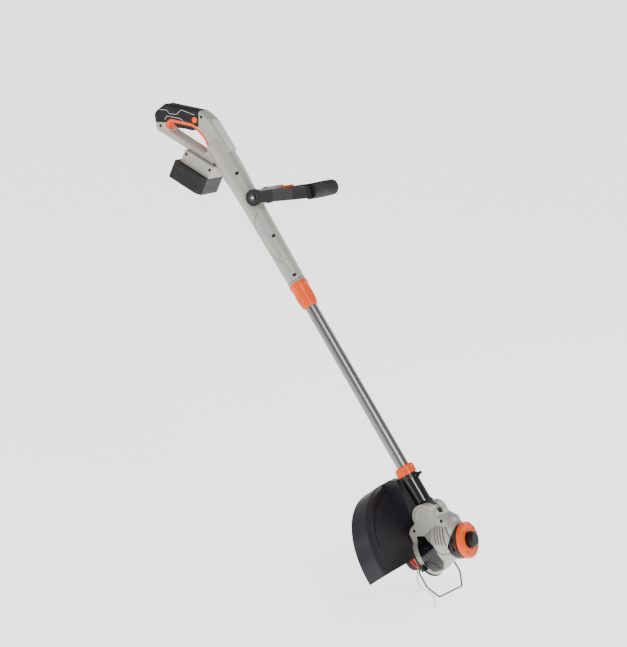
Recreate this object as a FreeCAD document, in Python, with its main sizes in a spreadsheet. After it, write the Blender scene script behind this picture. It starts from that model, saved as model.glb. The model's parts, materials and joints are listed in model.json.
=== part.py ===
import FreeCAD, Part
import math
import os
import Sketcher

# Battery string trimmer with a telescopic shaft, a tilting motor head and an edging wheel.
# Millimetres and degrees, +Z up. +X points forward, +Y to the machine's left.
# Origin: centre of the tap cap's ground face, at the bottom of the line spool.
# head frame:  x down the shaft line at rest, y left, z along the motor axis towards its top
# shaft frame: origin at the pivot, z up the shaft, x towards its front side

Vector = FreeCAD.Vector
Placement = FreeCAD.Placement
Rotation = FreeCAD.Rotation
ACROSS = Vector(0, 1, 0)
UPWARD = Vector(0, 0, 1)
FULL_TURN = 360
FAR = 400

DIMENSIONS = [
    # how the machine stands
    ("shaft_lean", 35.5),
    # fits and walls
    ("running_gap", 0.05),
    ("part_gap", 0.4),
    ("shell_wall", 2.5),
    # telescopic tube and what slides on it
    ("tube_radius", 12.5),
    ("tube_wall", 1.2),
    ("tube_bottom", 30),
    ("tube_length", 605),
    ("tube_insertion", 100),
    ("slider_length", 15),
    ("slider_radius", 15.6),
    ("lead_radius", 9),
    ("lead_length", 150),
    ("cable_radius", 2.5),
    # lower sleeve, turn ring and release plunger
    ("sleeve_radius", 17),
    ("sleeve_bottom", 27),
    ("sleeve_top", 88),
    ("knuckle_radius", 23.5),
    ("knuckle_width", 16),
    ("bolt_radius", 4),
    ("ring_radius", 19.5),
    ("ring_length", 19.6),
    ("plunger_radius", 3.2),
    ("plunger_reach", 30),
    ("plunger_height", 80),
    # upper housing
    ("housing_low_radius", 18.5),
    ("housing_mid_radius", 21.5),
    ("housing_top_radius", 24.4),
    ("housing_mid_height", 198),
    ("housing_wide_height", 266),
    ("housing_height", 332),
    ("bush_rise", 20),
    ("bush_length", 36),
    # telescopic lock
    ("collar_length", 56),
    ("collar_radius", 20),
    ("collar_low_radius", 16.5),
    ("collar_wall", 4.7),
    # rear handle
    ("handle_height", 315),
    ("handle_turn", 35.5),
    ("grip_half_width", 17),
    ("handle_wall", 4.5),
    ("cover_thickness", 2),
    ("liner_lip", 3),
    ("handle_round", 5.5),
    ("trigger_width", 12),
    ("trigger_pin_radius", 2),
    ("button_radius", 6.2),
    ("button_length", 38),
    # battery foot and battery pack
    ("rail_turn", 25.2),
    ("foot_half_width", 26),
    ("foot_depth", 27),
    ("rail_flange", 20),
    ("rail_neck", 16),
    ("rail_lip", 4),
    ("rail_height", 10),
    ("pack_length", 83),
    ("pack_width", 75),
    ("pack_height", 37.5),
    ("lid_height", 9),
    ("pack_wall", 2.5),
    ("cell_radius", 8.9),
    ("cell_length", 65),
    # front handle
    ("hub_height", 188),
    ("hub_forward", 28),
    ("hub_radius", 17),
    ("lug_radius", 15),
    ("lug_half_width", 19.6),
    ("front_turn", 26),
    ("arm_half_height", 12),
    ("bar_forward", 144),
    ("bar_depth", 14),
    ("grip_radius", 15.5),
    ("grip_length", 84),
    # motor head
    ("pivot_back", 59),
    ("pivot_rise", 53),
    ("cheek_radius", 24.5),
    ("cheek_face", 29),
    ("cap_radius", 19),
    ("base_radius", 43),
    ("base_shift", 8),
    ("floor_hole", 12),
    ("trim_proud", 0.8),
    ("trim_depth", 1.4),
    ("motor_radius", 24),
    ("motor_bottom", 13),
    ("motor_top", 58),
    ("motor_wall", 1.6),
    ("axle_radius", 4),
    ("fan_radius", 18),
    # spool
    ("cap_drop", 44),
    ("cap_height", 13.6),
    ("tap_radius", 23),
    ("spool_radius", 22),
    ("spool_top", 14),
    ("tap_travel", 5),
    ("drum_radius", 26),
    ("line_radius", 0.85),
    # guard and blade
    ("guard_radius", 160),
    ("guard_depth", 48),
    ("guard_wall", 3),
    ("guard_sweep", 186),
    ("spine_half_width", 14),
    ("screw_circle", 37),
    ("screw_radius", 2),
    # wheel
    ("wheel_tilt", 20),
    ("wheel_radius", 36),
    ("wheel_width", 12),
    ("wheel_seat", 3.5),
    ("bracket_radius", 35),
    ("bracket_depth", 18),
    ("bracket_wall", 3.5),
    ("skirt_radius", 29),
    ("wheel_hub_radius", 16.5),
    ("wheel_hub_length", 14),
    ("wheel_pin_radius", 3),
    # plant-guard wire
    ("wire_radius", 1.75),
    ("wire_hinge", 28),
    ("wire_rise", 4),
    ("wire_reach", 92),
    ("wire_half_width", 66),
    ("wire_nose", 46),
]


class Size:
    """A number together with the sheet expression that gives it."""

    def __init__(self, number, text):
        self.number = number
        self.text = text

    def __add__(self, other):
        return joined(self, "+", other, self.number + number_of(other))

    def __sub__(self, other):
        return joined(self, "-", other, self.number - number_of(other))

    def __mul__(self, other):
        return joined(self, "*", other, self.number * number_of(other))

    def __truediv__(self, other):
        return joined(self, "/", other, self.number / number_of(other))

    def __radd__(self, other):
        return as_size(other) + self

    def __rsub__(self, other):
        return as_size(other) - self

    def __rmul__(self, other):
        return as_size(other) * self

    def __neg__(self):
        return as_size(0) - self

    def __float__(self):
        return self.number


def number_of(value):
    """The plain number of a Size or of a number."""
    return float(value)


def as_size(value):
    """A Size for a plain number, or the Size itself."""
    return value if isinstance(value, Size) else Size(float(value), "(%.9g)" % value)


def joined(left, sign, right, number):
    """The Size of a sum, difference, product or quotient."""
    return Size(number, "(" + left.text + " " + sign + " " + as_size(right).text + ")")


class SheetSizes:
    """Gives each cell of the sheet as a Size, by its alias."""

    def __init__(self, sheet):
        self.sheet = sheet

    def __getattr__(self, alias):
        return Size(float(self.sheet.get(alias)), self.sheet.Name + "." + alias)


def fill_sheet(document):
    """Write the driving dimensions into the document's spreadsheet."""
    sheet = document.addObject("Spreadsheet::Sheet", "Sizes")
    for row, (alias, number) in enumerate(DIMENSIONS, start=1):
        sheet.set("A%d" % row, alias.replace("_", " "))
        sheet.set("B%d" % row, "%.9g" % number)
        sheet.setAlias("B%d" % row, alias)
    document.recompute()
    return SheetSizes(sheet)


os.makedirs("parts", exist_ok=True)
doc = FreeCAD.newDocument("string_trimmer")
size = fill_sheet(doc)
finished = []


# ---------------------------------------------------------------- frames

def moved(x=0, y=0, z=0, turn=0, about=ACROSS):
    """Placement that shifts by x, y, z and then turns about an axis of the new place."""
    shift = Vector(number_of(x), number_of(y), number_of(z))
    return Placement(shift, Rotation(about, number_of(turn)))


HEAD = moved(turn=90 - number_of(size.shaft_lean)) * moved(z=size.cap_drop)
SHAFT = HEAD * moved(x=-size.pivot_back, z=size.pivot_rise, turn=-90)
BODY_LIFT = size.tube_bottom + size.tube_length - size.tube_insertion
BODY = SHAFT * moved(z=BODY_LIFT)
GRIP_IN_BODY = moved(z=size.handle_height, turn=size.handle_turn)
RAIL_IN_BODY = GRIP_IN_BODY * moved(x=-52, z=-39, turn=size.rail_turn)
HUB_IN_BODY = moved(x=size.hub_forward, z=size.hub_height, turn=size.front_turn)
WHEEL_IN_HEAD = moved(x=20, z=88, turn=size.wheel_tilt)
SIDEWAYS = Placement(Vector(), Rotation(Vector(1, 0, 0), -90))


# ---------------------------------------------------------------- document objects

def keep(item, label):
    """Name a finished sub-part and put it on the list that is exported."""
    item.Label = label
    finished.append(item)
    return item


def bind(item, **sizes):
    """Bind properties of an object to sheet expressions."""
    for name, value in sizes.items():
        item.setExpression(name, as_size(value).text)
    return item


def rod(radius, length, place=None):
    """Part cylinder along z from its own foot."""
    item = bind(doc.addObject("Part::Cylinder", "rod"), Radius=radius, Height=length)
    item.Placement = place or Placement()
    return item


def cross_rod(radius, length, place=None):
    """Part cylinder centred on its place and lying along y."""
    centred = SIDEWAYS * moved(z=-number_of(length) / 2)
    return rod(radius, length, (place or Placement()) * centred)


def block(x_size, y_size, z_size, place=None):
    """Part box centred in x and y on its place and standing on it."""
    item = bind(doc.addObject("Part::Box", "block"), Length=x_size, Width=y_size, Height=z_size)
    corner = moved(x=-number_of(x_size) / 2, y=-number_of(y_size) / 2)
    item.Placement = (place or Placement()) * corner
    return item


def united(items, frame=None):
    """Boolean union of document objects."""
    item = doc.addObject("Part::MultiFuse", "union")
    item.Shapes = items
    item.Placement = frame or Placement()
    return item


def without(base, tool, frame=None):
    """Boolean difference of two document objects."""
    item = doc.addObject("Part::Cut", "difference")
    item.Base = base
    item.Tool = tool
    item.Placement = frame or Placement()
    return item


def group(items, frame=None):
    """Several separate solids in one node."""
    item = doc.addObject("Part::Compound", "group")
    item.Links = items
    item.Placement = frame or Placement()
    return item


def plain(shape, frame, label):
    """A sub-part whose shape is worked out with Part's own functions."""
    item = doc.addObject("Part::Feature", label)
    item.Shape = shape
    item.Placement = frame
    return keep(item, label)


def new_body(label, frame):
    """An empty PartDesign body at a frame."""
    body = keep(doc.addObject("PartDesign::Body", label), label)
    body.Placement = frame
    return body


def pin_corner(sketch, line, kind, axis, value):
    """Hold one coordinate of a line's start point, by expression, or on the axis when it is zero."""
    value = as_size(value)
    if abs(value.number) < 1e-9:
        sketch.addConstraint(Sketcher.Constraint("PointOnObject", line, 1, axis))
        return
    index = sketch.addConstraint(Sketcher.Constraint(kind, -1, 1, line, 1, value.number))
    sketch.setExpression("Constraints[%d]" % index, value.text)


def add_polygon(sketch, corners):
    """Closed polygon in a sketch with every corner held by two distances."""
    first = sketch.GeometryCount
    points = [Vector(number_of(across), number_of(along), 0) for across, along in corners]
    count = len(points)
    for index in range(count):
        edge = Part.LineSegment(points[index], points[(index + 1) % count])
        sketch.addGeometry(edge, False)
    for index in range(count):
        following = first + (index + 1) % count
        sketch.addConstraint(Sketcher.Constraint("Coincident", first + index, 2, following, 1))
    for index, (across, along) in enumerate(corners):
        pin_corner(sketch, first + index, "DistanceX", -2, across)
        pin_corner(sketch, first + index, "DistanceY", -1, along)


def add_circle(sketch, across, along, radius):
    """Circle in a sketch with its centre and radius held."""
    centre = Vector(number_of(across), number_of(along), 0)
    line = sketch.addGeometry(Part.Circle(centre, UPWARD, number_of(radius)), False)
    for kind, axis, value in (("DistanceX", -2, across), ("DistanceY", -1, along)):
        value = as_size(value)
        if abs(value.number) < 1e-9:
            sketch.addConstraint(Sketcher.Constraint("PointOnObject", line, 3, axis))
        else:
            held = sketch.addConstraint(Sketcher.Constraint(kind, -1, 1, line, 3, value.number))
            sketch.setExpression("Constraints[%d]" % held, value.text)
    held = sketch.addConstraint(Sketcher.Constraint("Radius", line, number_of(radius)))
    sketch.setExpression("Constraints[%d]" % held, as_size(radius).text)


def new_sketch(body, role):
    """Sketch on one of the body's own origin planes."""
    sketch = body.newObject("Sketcher::SketchObject", "sketch")
    plane = [item for item in body.Origin.OriginFeatures if item.Role == role][0]
    sketch.AttachmentSupport = (plane, "")
    sketch.MapMode = "FlatFace"
    return sketch


def turned(label, frame, corners, sweep=FULL_TURN):
    """Body of revolution: a polygon of (radius, height) corners turned about z."""
    body = new_body(label, frame)
    sketch = new_sketch(body, "XZ_Plane")
    add_polygon(sketch, corners)
    feature = body.newObject("PartDesign::Revolution", "revolution")
    feature.Profile = sketch
    feature.ReferenceAxis = (sketch, ["V_Axis"])
    bind(feature, Angle=sweep)
    feature.Midplane = True
    return body


def side_pad(body, corners, width):
    """Pad a polygon of (x, z) corners to both sides of the body's XZ plane."""
    sketch = new_sketch(body, "XZ_Plane")
    add_polygon(sketch, corners)
    return finish_pad(body, sketch, width)


def finish_pad(body, sketch, width):
    """Pad a sketch to both sides of its plane."""
    feature = body.newObject("PartDesign::Pad", "pad")
    feature.Profile = sketch
    feature.SideType = "Symmetric"
    bind(feature, Length=width)
    return feature


def through_pocket(body, sketch):
    """Cut a sketch through the body to both sides of its plane."""
    feature = body.newObject("PartDesign::Pocket", "pocket")
    feature.Profile = sketch
    feature.SideType = "Symmetric"
    bind(feature, Length=FAR)
    return feature


# ---------------------------------------------------------------- plain Part shapes

def unit_direction(start, end):
    """Unit vector from one point to another."""
    return (end - start).normalize()


def rounded_wire(corners):
    """Closed wire in the XZ plane through (x, z, radius) corners, each rounded by its radius."""
    points = [Vector(number_of(x), 0, number_of(z)) for x, z, _ in corners]
    radii = [number_of(radius) for _, _, radius in corners]
    count = len(points)
    edges = []
    arcs = []
    for index in range(count):
        here = points[index]
        back = unit_direction(here, points[index - 1])
        ahead = unit_direction(here, points[(index + 1) % count])
        half = back.getAngle(ahead) / 2
        reach = radii[index] / math.tan(half)
        middle = (back + ahead).normalize() * (radii[index] / math.sin(half))
        centre = here + middle
        nearest = centre - Vector(middle).normalize() * radii[index]
        arcs.append((here + back * reach, nearest, here + ahead * reach))
    for index in range(count):
        entry, nearest, leave = arcs[index]
        edges.append(Part.Arc(entry, nearest, leave).toShape())
        edges.append(Part.LineSegment(leave, arcs[(index + 1) % count][0]).toShape())
    return Part.Wire(edges)


def slab(wire, half_width):
    """Prism of a closed XZ wire, reaching half_width to both sides of y = 0."""
    width = number_of(half_width)
    prism = Part.Face(wire).extrude(Vector(0, 2 * width, 0))
    prism.translate(Vector(0, -width, 0))
    return prism


def sharp_slab(corners, half_width):
    """Prism of a polygon of (x, z) corners, reaching half_width to both sides of y = 0."""
    points = [Vector(number_of(x), 0, number_of(z)) for x, z in corners]
    return slab(Part.makePolygon(points + points[:1]), half_width)


def shape_box(x_range, y_range, z_range):
    """Box between two values along each axis."""
    low = Vector(*[number_of(pair[0]) for pair in (x_range, y_range, z_range)])
    high = Vector(*[number_of(pair[1]) for pair in (x_range, y_range, z_range)])
    extent = high - low
    return Part.makeBox(extent.x, extent.y, extent.z, low)


def shape_cross_rod(radius, half_length, x, z):
    """Cylinder along y, centred on y = 0."""
    half = number_of(half_length)
    foot = Vector(number_of(x), -half, number_of(z))
    return Part.makeCylinder(number_of(radius), 2 * half, foot, ACROSS)


def shape_turned(corners):
    """Solid of revolution about z from (radius, height) corners."""
    points = [Vector(number_of(radius), 0, number_of(height)) for radius, height in corners]
    face = Part.Face(Part.makePolygon(points + points[:1]))
    return face.revolve(Vector(), UPWARD, FULL_TURN)


def placed(shape, place):
    """Copy of a shape carried into a frame."""
    copy = shape.copy()
    copy.transformShape(place.toMatrix(), True)
    return copy


def half_of(shape, side):
    """The part of a shape on the left (side 1) or the right (side -1) of y = 0."""
    edge = (0, FAR) if side > 0 else (-FAR, 0)
    return shape.common(shape_box((-FAR, 2 * FAR), edge, (-FAR, 2 * FAR)))


def one_solid(shape):
    """The single solid of a boolean result, with split faces joined."""
    return shape.removeSplitter().Solids[0]


# ---------------------------------------------------------------- upper housing and rear handle

HANDLE_OUTLINE = [(30, 1, 2), (-14, 62, 34), (-40, 79, 30), (-128, 90, 12), (-156, 70, 13), (-150, 34.5, 13),
                  (-11, -29.5, 3)]
OPENING_OUTLINE = [(-122, 53, 6.5), (-58, 45, 30), (-32, 22, 30), (-15, -12, 7), (-112, 35, 7)]
COVER_ZONE = [(-165, 51), (-110, 51), (-60, 49), (-43, 46), (-43, 110), (-165, 110)]
LINER_ZONE = [(-138, 46), (-8, -2), (5, 100), (-138, 100)]
FOOT_BACK = -33
FOOT_FRONT = 42
TRIGGER_SLOT = (-112.4, -61.6)
TRIGGER_PIVOT = (-66, 58)
BUTTON_PLACE = (-52, 60)
PIN_HALF = 14.5
SCREW_HEAD_RADIUS = 3.4
SCREW_HEAD_HEIGHT = 2


def housing_stations(inset):
    """(radius, height) corners of the shaft housing, drawn in by inset."""
    return [
        (0, 0 if inset == 0 else -1),
        (size.housing_low_radius - inset, 0 if inset == 0 else -1),
        (size.housing_mid_radius - inset, size.housing_mid_height),
        (size.housing_top_radius - inset, size.housing_wide_height),
        (size.housing_top_radius - inset, size.housing_height - inset),
        (0, size.housing_height - inset),
    ]


def handle_outside():
    """The rear handle's closed loop with rounded edges, in the body frame."""
    loop = slab(rounded_wire(HANDLE_OUTLINE), size.grip_half_width)
    loop = loop.cut(slab(rounded_wire(OPENING_OUTLINE), size.grip_half_width + 1))
    side = number_of(size.grip_half_width)
    rims = [edge for edge in loop.Edges if abs(abs(edge.CenterOfMass.y) - side) < 0.01]
    return placed(loop.makeFillet(number_of(size.handle_round), rims), GRIP_IN_BODY)


def handle_core(inset, half_width):
    """The handle's loop drawn in by inset all round, without rounded edges, in the body frame."""
    outline = Part.Face(rounded_wire(HANDLE_OUTLINE)).makeOffset2D(-inset).OuterWire
    opening = Part.Face(rounded_wire(OPENING_OUTLINE)).makeOffset2D(inset).OuterWire
    loop = slab(outline, half_width).cut(slab(opening, half_width + 1))
    return placed(loop, GRIP_IN_BODY)


def foot_block(inset):
    """The battery foot's outer block, drawn in by inset, in the body frame."""
    width = size.foot_half_width - inset
    length = (FOOT_BACK + inset, FOOT_FRONT - inset)
    box = shape_box(length, (-width, width), (inset, size.foot_depth - inset))
    return placed(box, RAIL_IN_BODY)


def rail_channel():
    """The T-shaped channel that the battery's rail slides in, open at the back, with the plug bay."""
    gap = size.part_gap
    end = 34
    flange = size.rail_flange + gap
    neck = size.rail_neck + gap
    upper = shape_box((FOOT_BACK - 1, end), (-flange, flange), (size.rail_lip - gap, size.rail_height + gap))
    lower = shape_box((FOOT_BACK - 1, end), (-neck, neck), (-1, size.rail_lip))
    bay = shape_box((end - 1, end + 5.5), (-neck, neck), (2, size.rail_height + gap))
    return placed(upper.fuse([lower, bay]), RAIL_IN_BODY)


def upper_outside():
    """Everything that the two upper shells enclose, as one solid in the body frame."""
    shaft = shape_turned(housing_stations(0))
    lug = shape_cross_rod(size.lug_radius, size.lug_half_width, size.hub_forward, size.hub_height)
    web = shape_box((5, size.hub_forward), (-14, 14), (size.hub_height - 14, size.hub_height + 14))
    return shaft.fuse([handle_outside(), foot_block(0), lug, web])


def upper_inside():
    """The hollow of the upper shells, in the body frame."""
    wall = number_of(size.shell_wall)
    handle_inset = number_of(size.handle_wall)
    shaft = shape_turned(housing_stations(wall))
    handle = handle_core(handle_inset, size.grip_half_width - handle_inset)
    foot = shape_box((FOOT_BACK + wall, FOOT_FRONT - wall), (-22, 22), (13, size.foot_depth - wall))
    return shaft.fuse([handle, placed(foot, RAIL_IN_BODY)])


def liner_shape(outside):
    """Strip round the top and front of the hand opening, with a lip on each side of the handle."""
    opening = Part.Face(rounded_wire(OPENING_OUTLINE))
    wall = number_of(size.handle_wall)
    ring = slab(opening.makeOffset2D(wall).OuterWire, size.grip_half_width)
    lips = slab(opening.makeOffset2D(wall + number_of(size.liner_lip)).OuterWire, size.grip_half_width)
    middle = slab(rounded_wire(HANDLE_OUTLINE), size.grip_half_width - size.cover_thickness)
    band = ring.fuse(lips.cut(middle)).common(sharp_slab(LINER_ZONE, FAR))
    return outside.common(placed(band, GRIP_IN_BODY)).cut(trigger_slot())


def trigger_slot():
    """Slot through the underside of the grip for the trigger."""
    half = size.trigger_width / 2 + size.part_gap
    box = shape_box(TRIGGER_SLOT, (-half, half), (36, 66))
    return placed(box, GRIP_IN_BODY)


def cover_shape(outside, liner):
    """Skin over the top and sides of the grip."""
    zone = placed(sharp_slab(COVER_ZONE, FAR), GRIP_IN_BODY)
    skin = number_of(size.cover_thickness)
    core = handle_core(skin, size.grip_half_width - skin)
    return outside.common(zone).cut([core, liner, trigger_slot()])


def upper_screw_list():
    """(x, z, head y, length) of the housing's side screws, in the body frame."""
    screws = [(12, 14, -12.8, 2), (15, 104, -12.7, 2), (16, 252, -16, 2)]
    for x, z, head_y, length in [(-138, 44, -15.5, 24), (-37, 67, -15.5, 24)]:
        spot = GRIP_IN_BODY.multVec(Vector(x, 0, z))
        screws.append((spot.x, spot.z, head_y, length))
    for x, z in [(-27, 20), (37, 18)]:
        spot = RAIL_IN_BODY.multVec(Vector(x, 0, z))
        screws.append((spot.x, spot.z, -25, 34))
    return screws


def screw_solids(screws):
    """Pan-head screws along +y."""
    solids = []
    for x, z, head_y, length in screws:
        start = Vector(x, head_y, z)
        head = Part.makeCylinder(SCREW_HEAD_RADIUS, SCREW_HEAD_HEIGHT, start, ACROSS)
        shank = Part.makeCylinder(number_of(size.screw_radius), length, start, ACROSS)
        solids.append(one_solid(head.fuse(shank)))
    return solids


def screw_sinks(screws):
    """Round recesses from outside down to each screw head."""
    sinks = []
    for x, z, head_y, _ in screws:
        foot = Vector(x, -60, z)
        sinks.append(Part.makeCylinder(SCREW_HEAD_RADIUS + 0.2, 60 + head_y, foot, ACROSS))
    return sinks


def make_upper_housing():
    """Left and right shells, grip cover, opening liner and side screws."""
    outside = one_solid(upper_outside())
    liner = liner_shape(outside)
    cover = cover_shape(outside, liner)
    screws = screw_solids(upper_screw_list())
    button_hole = shape_cross_rod(size.button_radius + size.part_gap / 2, 60, *BUTTON_PLACE)
    button_hole = placed(button_hole, GRIP_IN_BODY)
    hub_hole = shape_cross_rod(size.bolt_radius + size.running_gap, 60, size.hub_forward, size.hub_height)
    pin_hole = shape_cross_rod(size.trigger_pin_radius, PIN_HALF, *TRIGGER_PIVOT)
    tools = [upper_inside(), liner, cover, rail_channel(), trigger_slot(), button_hole, hub_hole]
    tools.append(placed(pin_hole, GRIP_IN_BODY))
    tools += screws + screw_sinks(upper_screw_list())
    shell = outside.cut(tools)
    plain(one_solid(half_of(shell, 1)), BODY, "left_body_shell")
    plain(one_solid(half_of(shell, -1)), BODY, "right_body_shell")
    plain(one_solid(cover.cut([button_hole])), BODY, "grip_cover")
    plain(one_solid(liner.cut([button_hole])), BODY, "grip_liner")
    plain(Part.makeCompound(screws), BODY, "body_screws")


def make_trigger():
    """Trigger under the grip, its pin and its torsion spring."""
    frame = BODY * GRIP_IN_BODY
    x, z = TRIGGER_PIVOT
    body = new_body("trigger", frame)
    corners = [
        (-110.5, 48), (-103, 40.5), (-84, 39.5), (-65, 36.5), (-63, 40), (-63, 61), (-72, 62), (-111, 57),
    ]
    side_pad(body, corners, size.trigger_width)
    hole = new_sketch(body, "XZ_Plane")
    add_circle(hole, x, z, size.trigger_pin_radius + size.running_gap)
    through_pocket(body, hole)
    spring_bay = new_sketch(body, "XZ_Plane")
    add_circle(spring_bay, x, z, 4.6)
    bay = through_pocket(body, spring_bay)
    bind(bay, Length=6)
    pin = cross_rod(size.trigger_pin_radius, 2 * PIN_HALF, frame * moved(x=x, z=z))
    keep(pin, "trigger_pin")
    coil = cross_rod(4.1, 5, moved(x=x, z=z))
    bore = cross_rod(size.trigger_pin_radius, 6, moved(x=x, z=z))
    keep(without(coil, bore, frame), "trigger_spring")


def make_lock_off_button():
    """Round lock-off button that runs across the grip."""
    x, z = BUTTON_PLACE
    frame = BODY * GRIP_IN_BODY * moved(x=x, z=z)
    keep(cross_rod(size.button_radius, size.button_length, frame), "lock_off_button")


def make_switch():
    """Snap switch above the trigger, with its plunger."""
    case = block(24, 14, 11, moved(x=-92, z=66))
    plunger = rod(2, 3, moved(x=-98, z=63.5))
    keep(united([case, plunger], BODY * GRIP_IN_BODY), "power_switch")


def make_controller():
    """Controller board with its power transistors and capacitor."""
    lift = size.housing_wide_height + 2
    board = block(1.6, 38, 50, moved(x=-4, z=lift))
    parts = [board]
    for y in (-12, 0, 12):
        parts.append(block(5, 8, 12, moved(x=-2.5, y=y, z=lift + 30)))
    parts.append(rod(5, 16, moved(x=1.5, y=8, z=lift + 4)))
    keep(united(parts, BODY), "controller_board")


def make_terminals():
    """Terminal block in the battery foot with its blades."""
    parts = [block(5, 28, 7.5, moved(x=36.5, z=2.4))]
    for y in (-9, 0, 9):
        parts.append(block(13, 0.8, 4, moved(x=27.6, y=y, z=4.4)))
    keep(united(parts, BODY * RAIL_IN_BODY), "terminal_block")


# ---------------------------------------------------------------- telescopic tube

def make_guide_bush():
    """Bush at the housing's mouth that the tube slides in."""
    bore = size.tube_radius + size.running_gap
    outer = size.housing_low_radius - size.shell_wall
    foot = size.bush_rise
    top = foot + size.bush_length
    turned("guide_bush", BODY, [(bore, foot), (outer, foot), (outer, top), (bore, top)])


def make_collet():
    """Slotted clamping collet that the lock collar squeezes on the tube."""
    bore = size.tube_radius + size.running_gap
    outer = size.collar_radius - size.collar_wall - 0.3
    corners = [(bore, -50), (outer - 1, -50), (outer, -46), (outer, 0), (bore, 0)]
    body = turned("clamp_collet", BODY, corners)
    for role in ("XZ_Plane", "YZ_Plane"):
        slit = new_sketch(body, role)
        add_polygon(slit, [(-0.8, -51), (0.8, -51), (0.8, -16), (-0.8, -16)])
        through_pocket(body, slit)


def make_collar():
    """Twist collar of the telescopic lock, wide at the top and narrower below a step."""
    gap = size.part_gap
    bore = size.collar_radius - size.collar_wall
    low = size.tube_radius + gap
    end = -size.collar_length
    corners = [
        (low, end),
        (size.collar_low_radius - 1, end),
        (size.collar_low_radius, end + 1.5),
        (size.collar_radius - 1.2, -12),
        (size.collar_radius, -11),
        (size.collar_radius, -1.5),
        (size.collar_radius - 1, -gap),
        (bore, -gap),
        (bore, end + 4),
        (low, end + 4),
    ]
    turned("lock_collar", BODY, corners)


def make_tube():
    """Aluminium tube, the slider on its top end, and the lead and cable inside."""
    bore = size.tube_radius - size.tube_wall
    bottom = size.tube_bottom
    top = bottom + size.tube_length
    outer = size.tube_radius
    turned("telescopic_tube", SHAFT, [(bore, bottom), (outer, bottom), (outer, top), (bore, top)])
    foot = top - size.slider_length
    turned("tube_slider", SHAFT, [
        (outer, foot),
        (size.slider_radius - 1, foot),
        (size.slider_radius, foot + 1),
        (size.slider_radius, top - 1),
        (size.slider_radius - 1, top),
        (outer, top),
    ])
    lead_top = top - 5
    lead_foot = lead_top - size.lead_length
    keep(rod(size.lead_radius, size.lead_length, SHAFT * moved(z=lead_foot)), "coiled_lead")
    cable_foot = bottom + 2
    cable = rod(size.cable_radius, lead_foot - cable_foot, SHAFT * moved(z=cable_foot))
    keep(cable, "motor_cable")


# ---------------------------------------------------------------- lower sleeve

def make_sleeve():
    """Glossy sleeve round the tube's lower end with the pivot knuckle under it."""
    length = size.sleeve_top - size.sleeve_bottom
    sleeve = rod(size.sleeve_radius, length, moved(z=size.sleeve_bottom))
    knuckle = cross_rod(size.knuckle_radius, size.knuckle_width)
    neck = block(2 * size.sleeve_radius - 2, size.knuckle_width, size.sleeve_bottom + 1)
    boss = rod(6, 21, moved(z=size.plunger_height, turn=90))
    bore = rod(size.tube_radius + size.running_gap, FAR, moved(z=size.tube_bottom))
    hole = cross_rod(size.bolt_radius + size.running_gap, FAR)
    plunger_hole = rod(size.plunger_radius + size.running_gap, FAR, moved(z=size.plunger_height, turn=90))
    spring_bay = rod(5.2, 5.5, moved(x=size.tube_radius + 0.3, z=size.plunger_height, turn=90))
    solid = united([sleeve, knuckle, neck, boss])
    tools = united([bore, hole, plunger_hole, spring_bay])
    keep(without(solid, tools, SHAFT), "knuckle_sleeve")


def make_turn_ring():
    """Sprung ring that unlocks the turn of the head about the tube."""
    gap = size.part_gap
    bore = size.tube_radius + gap
    foot = size.sleeve_top + gap
    top = foot + size.ring_length
    outer = size.ring_radius
    turned("turn_lock_ring", SHAFT, [
        (bore, foot),
        (outer - 1.2, foot),
        (outer, foot + 1.2),
        (outer, top - 2.5),
        (outer - 2, top),
        (bore, top),
    ])


def make_plunger():
    """Release plunger on the sleeve's front, with its spring."""
    start = size.tube_radius + 0.4
    frame = SHAFT * moved(z=size.plunger_height, turn=90)
    keep(rod(size.plunger_radius, size.plunger_reach - start, frame * moved(z=start)), "detent_plunger")
    coil = rod(4.8, 4.6, moved(z=start + 0.5))
    bore = rod(size.plunger_radius + 0.4, 6, moved(z=start))
    keep(without(coil, bore, frame), "plunger_spring")


# ---------------------------------------------------------------- motor head

TRIM_OUTLINE = [(-34, 17, 3), (-24, 36, 8), (2, 50, 20), (38, 42, 16), (50, 21, 6), (45, 9, 5), (22, 9.6, 16),
                (-14, 13, 12)]
TRIM_FRONT = 5
WIRE_BLOCK = (12, 20, 8)
WIRE_BLOCK_INSET = 26
NECK_OUTLINE = [(-59, 29), (-53, 9), (-46, 2), (-30, 0), (8, 0), (8, 90), (-30, 92), (-46, 80), (-56, 77)]
HEAD_SCREWS = [(-45, 18, -27.5, 46), (-33, 84, -27.5, 46)]


def head_mass(inset):
    """The motor housing's rounded mass: circles stacked from the base to the top, drawn in by inset."""
    base = number_of(size.base_radius) - inset
    stations = [
        (size.base_shift, 0, base),
        (size.base_shift, 12, base),
        (2, 50, base - 0.5),
        (-3, 76, base - 5),
        (-6, 90, base - 14),
        (-8, 98 - inset, base - 30),
    ]
    wires = []
    for x, z, radius in stations:
        height = z if z > 0 or inset == 0 else -1
        centre = Vector(number_of(x), 0, height)
        wires.append(Part.Wire(Part.makeCircle(radius, centre, UPWARD)))
    return Part.makeLoft(wires, True, False)


def head_outside():
    """Motor housing with its neck and pivot cheeks as one solid, in the head frame."""
    neck = sharp_slab(NECK_OUTLINE, size.cheek_face)
    side = number_of(size.cheek_face)
    rims = [edge for edge in neck.Edges if abs(abs(edge.CenterOfMass.y) - side) < 0.01]
    neck = neck.makeFillet(5, [edge for edge in rims if edge.CenterOfMass.x < 0])
    cheeks = shape_cross_rod(size.cheek_radius, size.cheek_face, -size.pivot_back, size.pivot_rise)
    return head_mass(0).fuse([neck, cheeks])


def pivot_clearance():
    """Room between the cheeks for the knuckle at every tilt, and for the sleeve above them."""
    half = size.knuckle_width / 2 + size.part_gap
    back = -size.pivot_back
    rise = size.pivot_rise
    round_room = shape_cross_rod(size.knuckle_radius + 0.7, half, back, rise)
    behind = shape_box((back - 60, back), (-half, half), (0, rise + 60))
    above = shape_box((back - 1, back + 9), (-half, half), (rise, rise + 60))
    return round_room.fuse([behind, above])


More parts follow.
